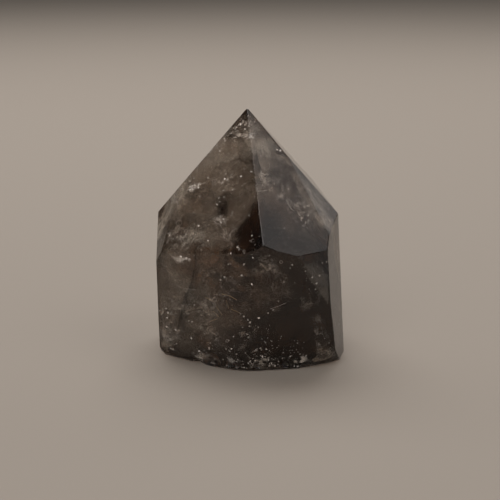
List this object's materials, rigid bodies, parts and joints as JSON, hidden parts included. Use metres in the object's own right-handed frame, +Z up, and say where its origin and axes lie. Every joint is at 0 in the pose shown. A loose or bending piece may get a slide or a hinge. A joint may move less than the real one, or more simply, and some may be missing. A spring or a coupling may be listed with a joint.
{
  "type": "smoky quartz point",
  "caption": "Hand-polished smoky quartz crystal point with a faceted tip, standing upright on its flat cut base.",
  "frame": {"origin": "middle of the bounding box on the cut base, at the level of the surface the stone stands on", "axes": "+Z up along the crystal towards its tip, -Y towards the front with the long ridge, +X to the right of the front"},
  "size_m": [0.062, 0.0596, 0.0795],
  "materials": {
    "smoky_quartz": "hand polished, see-through smoky brown, cloudy inside, frosted where the rim of the base is chipped"
  },
  "bodies": {
    "root": {"smoky_quartz_point": "smoky_quartz"}
  },
  "joints": []
}
